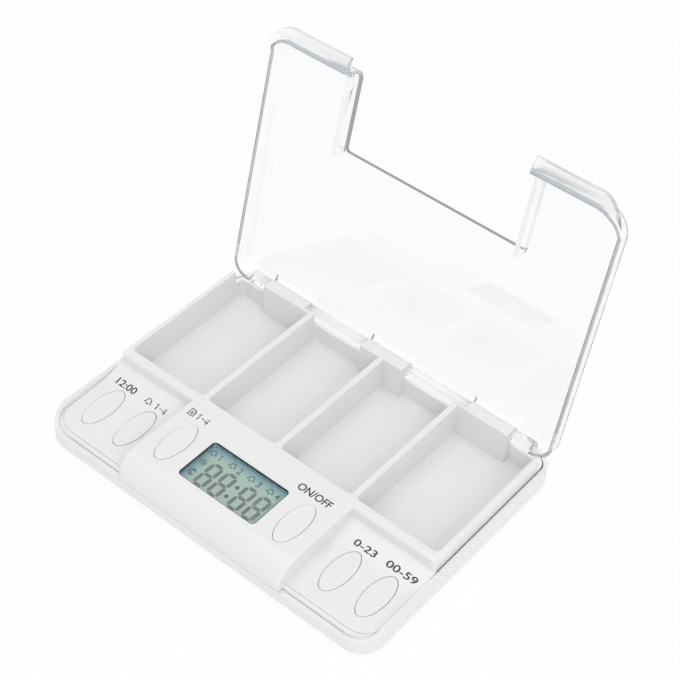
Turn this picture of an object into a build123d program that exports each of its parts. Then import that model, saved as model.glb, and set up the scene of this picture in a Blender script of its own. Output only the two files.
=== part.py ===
from build123d import *
import os

# A pill box with four compartments, a clear hinged lid and an electronic reminder timer in its front.
# Millimetres. The origin is the middle of the underside, +X is the user's right, -Y is the user's side
# and +Z is up. The lid is modelled open, as it stands at its stop.

os.makedirs("parts", exist_ok=True)

# Case outline
case_depth = 75.0
front_corner_radius = 7.0
back_corner_radius = 5.0
bottom_edge_radius = 2.6
floor_thickness = 1.2
lower_wall = 1.35
lower_side_wall = 1.1
rim_edge_radius = 0.9
rim_width = 1.5
ledge_drop = 4.3
ledge_front_drop = 7.3
seam_gap = 0.15

# Lid
lid_thickness = 1.2
lid_wall = 1.0
lid_side_clearance = 0.5
lid_rim_gap = 0.3
lid_edge_gap = 0.2
lid_front_draft = 2.4
lid_edge_radius = 3.0
lid_open_angle = 102.0
notch_side_gap = 1.3
notch_back_gap = 1.8
notch_corner_radius = 1.0
rib_thickness = 1.3
rib_depth = 4.2
lip_reach = 3.1
lip_rise = 1.2
lip_thickness = 1.4
lip_corner_radius = 8.5
lip_tip_radius = 0.6

# Lid hinge
hinge_block_radius = 2.1
barrel_radius = 1.85
barrel_clearance = 0.25
stub_radius = 0.9
stub_clearance = 0.05
stub_length = 2.4
middle_block_half = 6.9
side_block_gap = 1.83
side_block_length = 13.6
outer_barrel_inset = 6.0
hinge_end_gap = 0.3
block_front_reach = 2.8
pad_back_inset = 0.25
pad_edge_radius = 0.85
corner_relief_reach = 3.9
cutout_depth = 3.3

# Tray
tray_back_wall = 1.9
tray_floor_thickness = 1.2
tray_floor_gap = 0.1
divider_thickness = 1.8
inner_compartment_width = 22.27
tray_front_wall = 2.7
pocket_corner_radius = 1.2
pocket_floor_radius = 0.8
pocket_rim_radius = 0.4
wall_end_radius = 1.1

# Raised console and low side panels
console_side_gap = 2.23
console_edge_radius = 0.8
console_nose_radius = 5.7
skin = 1.2
panel_rear_drop = 3.6
panel_scoop_drop = 5.7
panel_front_drop = 6.1
scoop_depth = 9.2
panel_edge_radius = 1.0
panel_corner_radius = 6.5
panel_inner_gap = 3.83
panel_outer_gap = 1.63
groove_inset = 0.7
groove_width = 0.25
groove_depth = 0.3
bay_wall = 1.3

# Buttons
button_front_gap = 6.53
button_back_gap = 6.23
button_side_gap = 3.86
button_half_width = 3.07
button_half_length = 6.97
button_clearance = 0.15
button_proud = 0.3
button_travel = 0.4
button_flange = 0.5
flange_gap = 0.1
flange_thickness = 0.5
button_edge_radius = 0.25
press_gap = 0.1

# Display
window_half_width = 12.25
window_setback = 6.5
window_depth = 13.7
window_corner_radius = 1.2
window_thickness = 0.7
gasket_thickness = 0.15
gasket_recess = 0.1
gasket_clearance = 0.03
glass_margin = 1.1
glass_thickness = 1.0
glass_gap = 0.05
frame_clearance = 0.25
frame_wall = 1.0
frame_button_gap = 0.93
frame_top_drop = 0.5
zebra_width = 1.5
zebra_height = 1.55
zebra_length = 23.0

# Boards
board_thickness = 0.8
board_clearance = 1.0
main_board_side_gap = 0.5
main_board_front_gap = 2.4
main_board_back_gap = 1.6
key_board_inner_gap = 1.1
key_board_outer_gap = 0.8
key_board_margin = 0.73
key_board_lift = 0.7
key_pad_margin = 1.1
key_pad_sheet = 0.3
key_pad_inset = 0.6
key_board_post_radius = 1.3
key_board_post_inset = 1.6
seat_gap = 0.05

# Board ribbons
ribbon_thickness = 0.2
ribbon_half_width = 3.0
ribbon_bend_radius = 0.7
ribbon_main_overlap = 4.0
ribbon_drop_inset = 0.8
ribbon_key_overlap = 1.6

# Parts on the main board
part_gap = 0.4
blob_radius = 3.2
blob_height = 0.9
crystal_radius = 1.0
crystal_length = 6.0
lead_radius = 0.25
lead_spacing = 0.7
lead_reach = 0.6

# Battery
cell_radius = 5.8
cell_height = 5.4
cell_half_gap = 0.5
cell_clearance = 0.3
cell_gap = 0.15
holder_wall = 1.0
door_side_overlap = 1.9
door_end_overlap = 1.7
door_thickness = 0.95
door_underside = 0.05
door_travel = 4.0
door_clearance = 0.2
tongue_reach = 0.8
tongue_thickness = 0.4
tongue_gap = 0.1
slot_roof = 1.0
slot_border = 1.6
grip_count = 4
grip_pitch = 1.6
grip_width = 0.6
grip_depth = 0.3
grip_half_length = 5.0
contact_thickness = 0.2
contact_half_width = 2.5
contact_edge = 0.2
contact_tab_half_width = 1.0
link_overhang = 4.0
link_half_width = 3.0

# Sounder
buzzer_back_gap = 3.4
buzzer_radius = 6.0
buzzer_thickness = 0.3
ceramic_radius = 4.2
ceramic_thickness = 0.2
sound_hole_radius = 0.5
sound_hole_pitch = 2.2
sound_hole_count = 3

# Screws
screw_radius = 0.8
screw_head_radius = 1.5
screw_head_height = 0.6
screw_head_sink = 0.1
boss_radius = 1.9
thread_clearance = 0.05
case_screw_pad_gap = 0.7
case_screw_front_gap = 0.6
case_screw_side_gap = 0.9
case_screw_back_gap = 3.5
case_screw_length = 3.2
board_screw_inset = 2.1
board_screw_length = 2.2
board_post_radius = 1.7
drive_width = 0.4
drive_depth = 0.35

# Battery places: the door, the cells and the walls round them, from the bottom up
cell_x = cell_radius + cell_half_gap
cell_space = cell_radius + cell_clearance
holder_half_width = cell_x + cell_space + holder_wall
holder_half_depth = cell_space + holder_wall
door_half_width = cell_x + cell_space + door_side_overlap
door_half_length = cell_space + door_end_overlap
tongue_half_width = door_half_width + tongue_reach
battery_pad_half_width = tongue_half_width + door_clearance + slot_border
door_inner_z = door_underside + door_thickness
tongue_low_z = door_inner_z - tongue_thickness
slot_top_z = door_inner_z + contact_thickness + tongue_gap
slot_floor_z = slot_top_z + slot_roof
cell_base_z = door_inner_z + contact_thickness + cell_gap
cell_top_z = cell_base_z + cell_height
holder_top_z = cell_top_z + seat_gap

# Heights: the boards and the display stand on the battery and set the height of the rim
main_board_height = holder_top_z + contact_thickness + board_clearance
main_board_top = main_board_height + board_thickness
glass_base_z = main_board_top + zebra_height
glass_top_z = glass_base_z + glass_thickness
ceiling_z = glass_top_z + glass_gap
rim_height = ceiling_z + skin
ledge_height = rim_height - ledge_drop
ledge_front_height = rim_height - ledge_front_drop
panel_rear_height = rim_height - panel_rear_drop
panel_scoop_height = rim_height - panel_scoop_drop
panel_front_height = rim_height - panel_front_drop
upper_base_z = floor_thickness + tray_floor_gap
tray_floor_z = upper_base_z + tray_floor_thickness
key_board_height = floor_thickness + key_board_lift
key_board_top = key_board_height + board_thickness
lid_inner_z = rim_height + lid_rim_gap
lid_top_z = lid_inner_z + lid_thickness
hinge_z = rim_height - hinge_block_radius

# Widths: the display, then the buttons, then the walls set the width of the case
glass_half = window_half_width + glass_margin
flange_half_width = button_half_width + button_flange
console_button_x = glass_half + frame_clearance + frame_wall + frame_button_gap + flange_half_width
console_half_width = console_button_x + flange_half_width + console_side_gap + skin
inner_button_x = console_half_width + panel_inner_gap + flange_half_width
outer_button_x = inner_button_x + 2 * flange_half_width + button_side_gap
bay_half_width = outer_button_x + flange_half_width + panel_outer_gap
upper_half_width = bay_half_width + bay_wall
ledge_width = lid_wall + lid_side_clearance
half_width = upper_half_width + ledge_width
panel_half_width = half_width - lower_side_wall - seam_gap
far = 4 * half_width
tray_half_width = upper_half_width - rim_width
side_divider_x = inner_compartment_width + divider_thickness
side_block_inner_x = side_divider_x + divider_thickness / 2 + side_block_gap
side_block_outer_x = side_block_inner_x + side_block_length
outer_barrel_end_x = half_width - outer_barrel_inset
notch_half_width = console_half_width + notch_side_gap
main_board_half_width = console_half_width - skin - main_board_side_gap
key_board_inner_x = console_half_width + key_board_inner_gap
key_board_outer_x = bay_half_width - key_board_outer_gap
board_screw_x = main_board_half_width - board_screw_inset
case_screw_front_x = battery_pad_half_width + boss_radius + case_screw_pad_gap
case_screw_back_x = bay_half_width - boss_radius - case_screw_side_gap
blob_x = -(holder_half_width + blob_radius + part_gap)
crystal_x = holder_half_width + blob_radius + part_gap
buzzer_x = (key_board_inner_x + key_board_outer_x) / 2

# Depths: the buttons set the front section, the rest of the depth is the tray
front_y = -case_depth / 2
back_y = case_depth / 2
upper_front_y = front_y + ledge_width
upper_back_y = back_y - ledge_width
upper_front_radius = front_corner_radius - ledge_width
seam_corner_y = front_y + front_corner_radius
upper_back_radius = back_corner_radius - ledge_width
button_y = front_y + button_front_gap + button_half_length
wall_front_y = button_y + button_half_length + button_back_gap
scoop_y = wall_front_y - scoop_depth
tray_front_y = wall_front_y + tray_front_wall
tray_back_y = upper_back_y - tray_back_wall
bay_front_y = upper_front_y + bay_wall
bay_back_y = tray_front_y - bay_wall
hinge_y = back_y - hinge_block_radius
block_front_y = hinge_y - block_front_reach
pad_back_y = tray_back_y - pad_back_inset
notch_bottom_y = wall_front_y - notch_back_gap
window_front_y = front_y + window_setback
window_back_y = window_front_y + window_depth
glass_front_y = window_front_y - glass_margin
glass_back_y = window_back_y + glass_margin
main_board_front_y = front_y + skin + main_board_front_gap
main_board_back_y = bay_back_y - main_board_back_gap
board_screw_y = main_board_back_y - board_screw_inset
flange_front_y = button_y - button_half_length - button_flange
key_board_front_y = flange_front_y - key_board_margin
key_board_back_y = button_y + button_half_length + button_flange + key_board_margin
door_front_y = button_y - door_half_length
door_back_y = button_y + door_half_length
blob_y = button_y + ribbon_half_width + blob_radius + part_gap
buzzer_y = bay_back_y - buzzer_back_gap - buzzer_radius
case_screw_front_y = bay_front_y + case_screw_front_gap
case_screw_back_y = bay_back_y - case_screw_back_gap
hinge_spans = [
    (-side_block_outer_x, -side_block_inner_x),
    (-middle_block_half, middle_block_half),
    (side_block_inner_x, side_block_outer_x),
]


def block(x_low, x_high, y_low, y_high, z_low, z_high):
    """A box between its limits."""
    centre = Pos((x_low + x_high) / 2, (y_low + y_high) / 2, (z_low + z_high) / 2)
    return centre * Box(x_high - x_low, y_high - y_low, z_high - z_low)


def outline(half, y_front, y_back, front_radius, back_radius):
    """A rectangle seen from above, with one radius at its front corners and one at its back corners."""
    shape = Pos(0, (y_front + y_back) / 2) * Rectangle(2 * half, y_back - y_front)
    shape = fillet(shape.vertices().group_by(Axis.Y)[0], front_radius)
    return fillet(shape.vertices().group_by(Axis.Y)[-1], back_radius)


def upright(face, z_low, z_high):
    """A flat shape drawn from above, raised between two heights."""
    return extrude(Pos(0, 0, z_low) * face, z_high - z_low)


def side_profile(points, half):
    """A closed side view, as (y, z) points, drawn out along X to both sides."""
    face = make_face(Plane.YZ * Polyline(*points, close=True))
    return extrude(face, half, both=True)


def rod(radius, x_low, x_high, y, z):
    """A round bar along X."""
    bar = Cylinder(radius, x_high - x_low, rotation=(0, 90, 0))
    return Pos((x_low + x_high) / 2, y, z) * bar


def post(radius, x, y, z_low, z_high):
    """A round bar along Z."""
    return Pos(x, y, (z_low + z_high) / 2) * Cylinder(radius, z_high - z_low)


def panel_height(y):
    """The height of the side panels at y, in front of the scoop: they fall slightly towards the front."""
    rise = panel_scoop_height - panel_front_height
    return panel_front_height + rise * (y - upper_front_y) / (scoop_y - upper_front_y)


def under_panel(drop):
    """Everything below the side panels' surface, lowered by drop: nearly level, then scooped up."""
    front = (upper_front_y, panel_front_height - drop)
    scoop = (scoop_y, panel_scoop_height - drop)
    rear = (wall_front_y, panel_rear_height - drop)
    level = Line(front, scoop)
    rise = TangentArc(scoop, rear, tangent=(scoop[0] - front[0], scoop[1] - front[1]))
    rest = Polyline(rear, (tray_front_y, rear[1]), (tray_front_y, -far), (upper_front_y, -far), front)
    return extrude(make_face(Plane.YZ * (level + rise + rest)), far, both=True)


def under_seam(lift):
    """Everything below the lower shell's edge, raised by lift: level all along, and lower at the front."""
    y_near = front_y - lip_reach - lid_wall
    top = [
        (y_near, ledge_front_height + lift),
        (upper_front_y, ledge_front_height + lift),
        (seam_corner_y, ledge_height + lift),
        (far, ledge_height + lift),
    ]
    return side_profile(top + [(far, -far), (y_near, -far)], far)


def oval(x, grow):
    """The outline of a button, grown all round."""
    return Pos(x, button_y) * Ellipse(button_half_width + grow, button_half_length + grow)


# Screws --------------------------------------------------------------------------------------------

case_screw_places = []
for side in (-1, 1):
    case_screw_places.append((side * case_screw_front_x, case_screw_front_y))
    case_screw_places.append((side * case_screw_back_x, case_screw_back_y))
board_screw_places = [(side * board_screw_x, board_screw_y) for side in (-1, 1)]
case_screw_seat = screw_head_sink + screw_head_height


def screw(x, y, z_head, length):
    """A pan-head screw driven upwards, with a cross slot; z_head is the underside of its head."""
    head = post(screw_head_radius, x, y, z_head - screw_head_height, z_head)
    shank = post(screw_radius, x, y, z_head, z_head + length)
    slot_z = z_head - screw_head_height + drive_depth
    for turn in (0, 90):
        slot = Pos(x, y, slot_z - drive_depth / 2) * Rot(0, 0, turn)
        head -= slot * Box(2 * screw_radius, drive_width, drive_depth)
    return head + shank


# Lower shell ---------------------------------------------------------------------------------------

def battery_block():
    """The thick floor round the battery door, and the walls round the two cells."""
    pad_front = door_front_y - door_clearance - slot_border / 2
    pad_back = door_back_y + door_travel + door_clearance + slot_border / 2
    pad = block(-battery_pad_half_width, battery_pad_half_width, pad_front, pad_back, 0, slot_floor_z)
    y_low = button_y - holder_half_depth
    holder = block(
        -holder_half_width, holder_half_width, y_low, button_y + holder_half_depth, 0, holder_top_z
    )
    return pad + holder


def battery_space():
    """The slot that the door slides in, with its side grooves, and the two round cell wells."""
    y_low = door_front_y - door_clearance
    y_high = door_back_y + door_travel + door_clearance
    mouth_half = door_half_width + door_clearance
    groove_half = tongue_half_width + door_clearance
    space = block(-mouth_half, mouth_half, y_low, y_high, -floor_thickness, slot_top_z)
    space += block(-groove_half, groove_half, y_low, y_high, tongue_low_z - tongue_gap, slot_top_z)
    for side in (-1, 1):
        space += post(cell_space, side * cell_x, button_y, -floor_thickness, far)
    return space


def make_bottom_shell():
    """The lower half of the case: a shallow tub with the battery block and the screw holes."""
    shell = upright(
        outline(half_width, front_y, back_y, front_corner_radius, back_corner_radius), 0, ledge_height
    )
    shell = fillet(shell.faces().sort_by(Axis.Z)[0].edges(), bottom_edge_radius)
    inner = outline(
        half_width - lower_side_wall,
        front_y + lower_wall,
        back_y - lower_wall,
        front_corner_radius - lower_wall,
        back_corner_radius - lower_wall,
    )
    shell -= upright(inner, floor_thickness, far)
    shell &= under_seam(0)
    shell += battery_block()
    shell -= battery_space()
    for side in (-1, 1):
        for x in (key_board_inner_x + key_board_post_inset, key_board_outer_x - key_board_post_inset):
            for y in (key_board_front_y + key_board_post_inset, key_board_back_y - key_board_post_inset):
                shell += post(
                    key_board_post_radius, side * x, y, floor_thickness / 2, key_board_height - seat_gap
                )
    for x, y in case_screw_places:
        shell -= post(screw_radius + thread_clearance + seam_gap, x, y, -floor_thickness, 2 * floor_thickness)
        shell -= post(screw_head_radius + seam_gap, x, y, -floor_thickness, case_screw_seat)
    for column in range(sound_hole_count):
        for row in range(sound_hole_count):
            x = buzzer_x + (column - (sound_hole_count - 1) / 2) * sound_hole_pitch
            y = buzzer_y + (row - (sound_hole_count - 1) / 2) * sound_hole_pitch
            shell -= post(sound_hole_radius, x, y, -floor_thickness, 2 * floor_thickness)
    return shell


# Upper shell ---------------------------------------------------------------------------------------

divider_places = [-side_divider_x, 0, side_divider_x]


def compartment_limits():
    """The left and right wall of each compartment."""
    left_walls = [-tray_half_width] + [x + divider_thickness / 2 for x in divider_places]
    right_walls = [x - divider_thickness / 2 for x in divider_places] + [tray_half_width]
    return list(zip(left_walls, right_walls))


def compartment(x_low, x_high):
    """The space of one compartment, with its rounded corners and floor edge."""
    space = block(x_low, x_high, tray_front_y, tray_back_y, tray_floor_z, rim_height + lid_rim_gap)
    space = fillet(space.edges().filter_by(Axis.Z), pocket_corner_radius)
    return fillet(space.faces().sort_by(Axis.Z)[0].edges(), pocket_floor_radius)


def compartment_rims(shell):
    """The top edges of the compartments."""
    top_edges = [e for e in shell.edges() if abs(e.center().Z - rim_height) < seam_gap]
    middle_y = (tray_front_y + tray_back_y) / 2
    half_depth = (tray_back_y - tray_front_y) / 2 + seam_gap
    inside = [e for e in top_edges if abs(e.center().X) < tray_half_width + seam_gap]
    return [e for e in inside if abs(e.center().Y - middle_y) < half_depth]


def console(z_low):
    """The raised middle of the front, with its rounded nose, from z_low up."""
    y_back = tray_front_y - pocket_rim_radius
    body = block(-console_half_width, console_half_width, front_y, y_back, z_low, rim_height)
    top_edges = body.faces().sort_by(Axis.Z)[-1].edges()
    body = fillet(top_edges.sort_by(Axis.Y)[0], console_nose_radius)
    side_edges = [e for e in body.edges() if abs(abs(e.center().X) - console_half_width) < seam_gap]
    rim_edges = [e for e in side_edges if e.center().Z > ledge_height and e.center().Y < y_back - seam_gap]
    return fillet(rim_edges, console_edge_radius)


def front_bay():
    """The hollow under the front panels, open at the bottom."""
    inner = outline(
        bay_half_width,
        bay_front_y,
        bay_back_y,
        upper_front_radius - bay_wall,
        pocket_corner_radius,
    )
    low = upright(inner, 0, rim_height) & under_panel(skin)
    high_half = console_half_width - skin
    high = block(-high_half, high_half, front_y + skin, bay_back_y, panel_front_height - skin, ceiling_z)
    nose = high.faces().sort_by(Axis.Z)[-1].edges().sort_by(Axis.Y)[0]
    high = fillet(nose, console_nose_radius - skin)
    high &= (
        block(-far, far, bay_front_y, far, 0, far)
        + block(-far, far, -far, far, ledge_front_height + skin, far)
    )
    return low + high


def panel_outline(half, front_inset):
    """The outline of the side panels for a given half width, with its front edge set back by front_inset."""
    y_back = wall_front_y + wall_end_radius
    return outline(half, upper_front_y + front_inset, y_back, panel_corner_radius, pocket_floor_radius)


def side_panels():
    """The low part in front of the tray, with its front edge rounded."""
    body = upright(panel_outline(panel_half_width, 0), upper_base_z, rim_height)
    surface = under_panel(0)
    nose = surface.edges().group_by(Axis.Y)[0].sort_by(Axis.Z)[-1]
    return body & fillet(nose, panel_edge_radius)


def panel_groove():
    """The fine groove along the front edge of the side panels, which runs out into the seam at the sides."""
    ring = upright(panel_outline(panel_half_width + groove_width, groove_inset), 0, rim_height)
    ring -= upright(panel_outline(panel_half_width, groove_inset + groove_width), 0, rim_height)
    ring -= under_panel(groove_depth)
    ring -= block(-console_half_width, console_half_width, -far, far, 0, far)
    return ring & block(-far, far, -far, wall_front_y, 0, far)


def hinge_block(x_low, x_high, pad_low, pad_high):
    """A block at the back edge that carries the lid's stubs, and the pad in front of it."""
    body = block(x_low, x_high, block_front_y, hinge_y, ledge_height + seam_gap, rim_height)
    body += block(x_low, x_high, tray_back_y, upper_back_y, ledge_height - seam_gap, hinge_z)
    body += rod(hinge_block_radius, x_low, x_high, hinge_y, hinge_z)
    body += block(x_low, x_high, hinge_y, back_y, ledge_height + seam_gap, hinge_z)
    body += block(x_low, x_high, block_front_y, tray_back_y + seam_gap, upper_base_z, rim_height)
    for low, high in ((pad_low, x_low), (x_high, pad_high)):
        if high > low:
            pad = block(low, high, block_front_y, pad_back_y, ledge_height, rim_height)
            back_edge = pad.edges().filter_by(Axis.X).group_by(Axis.Z)[-1].sort_by(Axis.Y)[-1]
            pad = fillet(back_edge, pad_edge_radius)
            pad += block(low, high, block_front_y, tray_back_y + seam_gap, upper_base_z, hinge_z)
            body += pad - rod(barrel_radius + barrel_clearance, low, high, hinge_y, hinge_z)
    return body


def make_top_shell():
    """The upper half of the case: the tray, the front panels and the hinge blocks."""
    shell = upright(
        outline(upper_half_width, wall_front_y, upper_back_y, wall_end_radius, upper_back_radius),
        upper_base_z,
        rim_height,
    )
    shell = fillet(shell.faces().sort_by(Axis.Z)[-1].edges(), rim_edge_radius)
    for x_low, x_high in compartment_limits():
        shell -= compartment(x_low, x_high)
    shell = fillet(compartment_rims(shell), pocket_rim_radius)
    shell += side_panels()
    shell += console(ledge_front_height + seam_gap)
    shell -= front_bay()
    shell -= panel_groove()
    shell -= block(-far, far, block_front_y + seam_gap, far, ledge_height, far)
    for side in (-1, 1):
        corner = [side * side_block_outer_x, side * far]
        shell -= block(min(corner), max(corner), hinge_y - corner_relief_reach, far, ledge_height, far)
    pad_edge = side_divider_x - divider_thickness / 2
    for x_low, x_high in hinge_spans:
        pad_low = pad_edge if x_low == side_block_inner_x else x_low
        pad_high = -pad_edge if x_high == -side_block_inner_x else x_high
        shell += hinge_block(x_low, x_high, pad_low, pad_high)
    for x_low, x_high in hinge_spans:
        shell -= rod(stub_radius + stub_clearance, x_low, x_high, hinge_y, hinge_z)
    return shell


def add_bosses(shell):
    """Screw bosses and board posts, joined to the inside of the upper shell."""
    bosses = Part()
    for x, y in case_screw_places:
        bosses += post(boss_radius, x, y, upper_base_z, ceiling_z)
    for x, y in board_screw_places:
        bosses += post(board_post_radius, x, y, main_board_top + seat_gap, ceiling_z + skin / 2)
    high_half = console_half_width - skin / 2
    high = console(0) & block(-high_half, high_half, front_y, far, 0, rim_height - skin / 2)
    bosses &= under_panel(skin / 2) + high
    shell += bosses
    for x, y in case_screw_places:
        top = case_screw_seat + case_screw_length
        shell -= post(screw_radius + thread_clearance, x, y, 0, top + thread_clearance)
    for x, y in board_screw_places:
        top = main_board_height + board_screw_length
        shell -= post(screw_radius + thread_clearance, x, y, main_board_height, top + thread_clearance)
    return shell


def add_front_openings(shell):
    """The display window and the six button holes."""
    shell -= upright(window_outline(0), ceiling_z - skin, rim_height + skin)
    for x in (console_button_x, inner_button_x, outer_button_x):
        for side in (-1, 1):
            shell -= upright(oval(side * x, button_clearance), floor_thickness, rim_height + skin)
    return shell


# Lid -----------------------------------------------------------------------------------------------

def lid_block(inset, z_high):
    """The lid's outer shape, made smaller by inset on every side, up to z_high."""
    z_foot = ledge_front_height - lid_edge_gap
    draft = lid_front_draft * (z_high - z_foot) / (lid_top_z - z_foot)
    sections = []
    for z, y_near in ((z_foot, front_y), (z_high, front_y + draft)):
        shape = outline(
            half_width - inset,
            y_near + inset,
            upper_back_y - inset,
            front_corner_radius - inset,
            back_corner_radius - inset,
        )
        sections.append(Pos(0, 0, z) * shape)
    return loft(sections, ruled=True)


def thumb_lip():
    """The rising lip along the foot of the lid's front wall, carried round its corners."""
    z_low = ledge_front_height + lid_edge_gap
    y_tip = front_y - lip_reach
    reach = outline(half_width, y_tip, upper_back_y, lip_corner_radius, back_corner_radius)
    band = [
        (y_tip, z_low + lip_rise),
        (front_y, z_low),
        (tray_front_y, z_low),
        (tray_front_y, z_low + lip_thickness),
        (front_y, z_low + lip_thickness),
        (y_tip, z_low + lip_rise + lip_thickness),
    ]
    profile = side_profile(band, half_width)
    profile = fillet(profile.edges().filter_by(Axis.X).group_by(Axis.Y)[0], lip_tip_radius)
    lip = upright(reach, 0, rim_height) & profile
    return lip - lid_block(lid_wall, lid_inner_z)


def make_lid():
    """The clear lid in its closed place, turned open about the hinge."""
    outer = lid_block(0, lid_top_z)
    outer = fillet(outer.faces().sort_by(Axis.Z)[-1].edges(), lid_edge_radius)
    inner = lid_block(lid_wall, lid_inner_z)
    lid = outer - fillet(inner.faces().sort_by(Axis.Z)[-1].edges(), lid_edge_radius - lid_wall)
    for side in (-1, 1):
        span = [side * notch_half_width, side * (notch_half_width + rib_thickness)]
        rib = block(
            min(span), max(span), -far, notch_bottom_y, lid_inner_z - rib_depth, lid_inner_z + seam_gap
        )
        lid += rib & outer
    lid += thumb_lip()
    lid -= under_seam(lid_edge_gap)
    notch = outline(notch_half_width, -far, notch_bottom_y, notch_corner_radius, notch_corner_radius)
    lid -= upright(notch, 0, far)
    lid -= block(-outer_barrel_end_x, outer_barrel_end_x, hinge_y - lid_wall, far, 0, hinge_z)
    cutout_front_y = upper_back_y - cutout_depth
    for low, high in hinge_spans:
        lid -= block(low - hinge_end_gap, high + hinge_end_gap, cutout_front_y, far, 0, far)
    for side in (-1, 1):
        ends = [middle_block_half + hinge_end_gap, side_block_inner_x - hinge_end_gap]
        lid += rod(barrel_radius, *sorted(side * x for x in ends), hinge_y, hinge_z)
        stubs = [ends[0] - stub_length, ends[1] + stub_length]
        lid += rod(stub_radius, *sorted(side * x for x in stubs), hinge_y, hinge_z)
        ends = [side_block_outer_x + hinge_end_gap, outer_barrel_end_x]
        lid += rod(barrel_radius, *sorted(side * x for x in ends), hinge_y, hinge_z)
        stubs = [ends[0] - stub_length, outer_barrel_end_x]
        lid += rod(stub_radius, *sorted(side * x for x in stubs), hinge_y, hinge_z)
    return lid.rotate(Axis((0, hinge_y, hinge_z), (1, 0, 0)), -lid_open_angle)


# Buttons and key pads ------------------------------------------------------------------------------

button_rows = {
    "time_button": -outer_button_x,
    "alarm_button": -inner_button_x,
    "memo_button": -console_button_x,
    "on_off_button": console_button_x,
    "hour_button": inner_button_x,
    "minute_button": outer_button_x,
}
panel_button_base = panel_height(flange_front_y) - skin - flange_gap - flange_thickness
console_button_base = ceiling_z - flange_gap - flange_thickness


def make_button(x):
    """An oval cap with a flat top, and a wider flange that keeps it behind the skin."""
    if abs(x) == console_button_x:
        base = console_button_base
        top = rim_height + button_proud
    else:
        base = panel_button_base
        top = panel_height(button_y) + button_proud
    cap = upright(oval(x, 0), base, top)
    cap = fillet(cap.faces().sort_by(Axis.Z)[-1].edges(), button_edge_radius)
    return cap + upright(oval(x, button_flange), base, base + flange_thickness)


def make_key_pad(places, z_low, base):
    """A rubber sheet on its board, with a raised pad under each button at places."""
    x_low = min(places) - button_half_width - key_pad_margin
    x_high = max(places) + button_half_width + key_pad_margin
    reach = button_half_length + key_pad_margin / 2
    pad = block(x_low, x_high, button_y - reach, button_y + reach, z_low, z_low + key_pad_sheet)
    for x in places:
        pad += upright(oval(x, -key_pad_inset), z_low, base - button_travel - press_gap)
    return pad


# Display -------------------------------------------------------------------------------------------

def window_outline(inset):
    """The outline of the display opening, made smaller by inset."""
    radius = window_corner_radius - inset
    return outline(window_half_width - inset, window_front_y + inset, window_back_y - inset, radius, radius)


def make_gasket():
    """The black ring that lines the opening, between the shell and the clear window."""
    z_high = rim_height - gasket_recess
    ring = upright(window_outline(gasket_clearance), glass_top_z, z_high)
    return ring - upright(window_outline(gasket_clearance + gasket_thickness), 0, rim_height)


def make_window():
    """The clear window, held in the ring just over the display cell."""
    inset = gasket_thickness + 2 * gasket_clearance
    z_low = glass_top_z + glass_gap
    return upright(window_outline(inset), z_low, z_low + window_thickness)


def make_glass():
    """The liquid crystal cell."""
    return block(-glass_half, glass_half, glass_front_y, glass_back_y, glass_base_z, glass_top_z)


def make_frame():
    """The frame that holds the display cell over the board."""
    inner = frame_clearance
    outer = frame_clearance + frame_wall
    top = glass_top_z - frame_top_drop
    frame = block(
        -glass_half - outer, glass_half + outer,
        glass_front_y - outer, glass_back_y + outer, main_board_top, top
    )
    frame -= block(
        -glass_half - inner, glass_half + inner, glass_front_y - inner, glass_back_y + inner, 0, rim_height
    )
    return frame


def make_zebra_strip(y_edge, towards):
    """A rubber strip that joins the board to one edge of the display cell."""
    near = y_edge + towards * frame_clearance
    limits = sorted((near, near + towards * zebra_width))
    return block(-zebra_length / 2, zebra_length / 2, limits[0], limits[1], main_board_top, glass_base_z)


# Boards and their parts ----------------------------------------------------------------------------

def make_main_board():
    """The board under the console, cut away round the front screw bosses."""
    half = main_board_half_width
    board = block(-half, half, main_board_front_y, main_board_back_y, main_board_height, main_board_top)
    for x, y in case_screw_places:
        board -= post(boss_radius + frame_clearance, x, y, 0, rim_height)
    for x, y in board_screw_places:
        board -= post(screw_radius + seam_gap, x, y, 0, rim_height)
    return board


def make_key_board(side):
    """The board under one side panel."""
    limits = sorted((side * key_board_inner_x, side * key_board_outer_x))
    return block(*limits, key_board_front_y, key_board_back_y, key_board_height, key_board_top)


def make_ribbon(side):
    """The flat ribbon from under the main board down to a key board."""
    z_high = main_board_height - ribbon_thickness / 2
    z_low = key_board_top + ribbon_thickness / 2
    x_drop = side * (main_board_half_width - ribbon_drop_inset)
    points = [
        (side * (main_board_half_width - ribbon_main_overlap), button_y, z_high),
        (x_drop, button_y, z_high),
        (x_drop, button_y, z_low),
        (side * (key_board_inner_x + ribbon_key_overlap), button_y, z_low),
    ]
    path = FilletPolyline(*points, radius=ribbon_bend_radius)
    section = Plane(origin=points[0], z_dir=(side, 0, 0)) * Rectangle(
        2 * ribbon_half_width, 2 * ribbon_half_width
    )
    section &= block(-far, far, -far, far, z_high - ribbon_thickness / 2, z_high + ribbon_thickness / 2)
    return sweep(section, path)


def make_blob():
    """The epoxy dome over the controller chip, under the main board."""
    dome_radius = (blob_radius ** 2 + blob_height ** 2) / (2 * blob_height)
    dome = Pos(blob_x, blob_y, main_board_height + dome_radius - blob_height) * Sphere(dome_radius)
    return dome & block(-far, far, -far, far, 0, main_board_height)


def make_crystal():
    """The clock crystal: a small can under the main board, with two leads bent up to it."""
    z = main_board_height - crystal_radius
    can = Cylinder(crystal_radius, crystal_length, rotation=(90, 0, 0))
    crystal = Pos(crystal_x, button_y, z) * can
    y_end = button_y + crystal_length / 2
    for side in (-1, 1):
        x = crystal_x + side * lead_spacing / 2
        crystal += block(
            x - lead_radius, x + lead_radius, y_end, y_end + lead_reach, z - lead_radius, z + lead_radius
        )
        y_up = y_end + lead_reach - 2 * lead_radius
        crystal += block(x - lead_radius, x + lead_radius, y_up, y_end + lead_reach, z, main_board_height)
    return crystal


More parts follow.
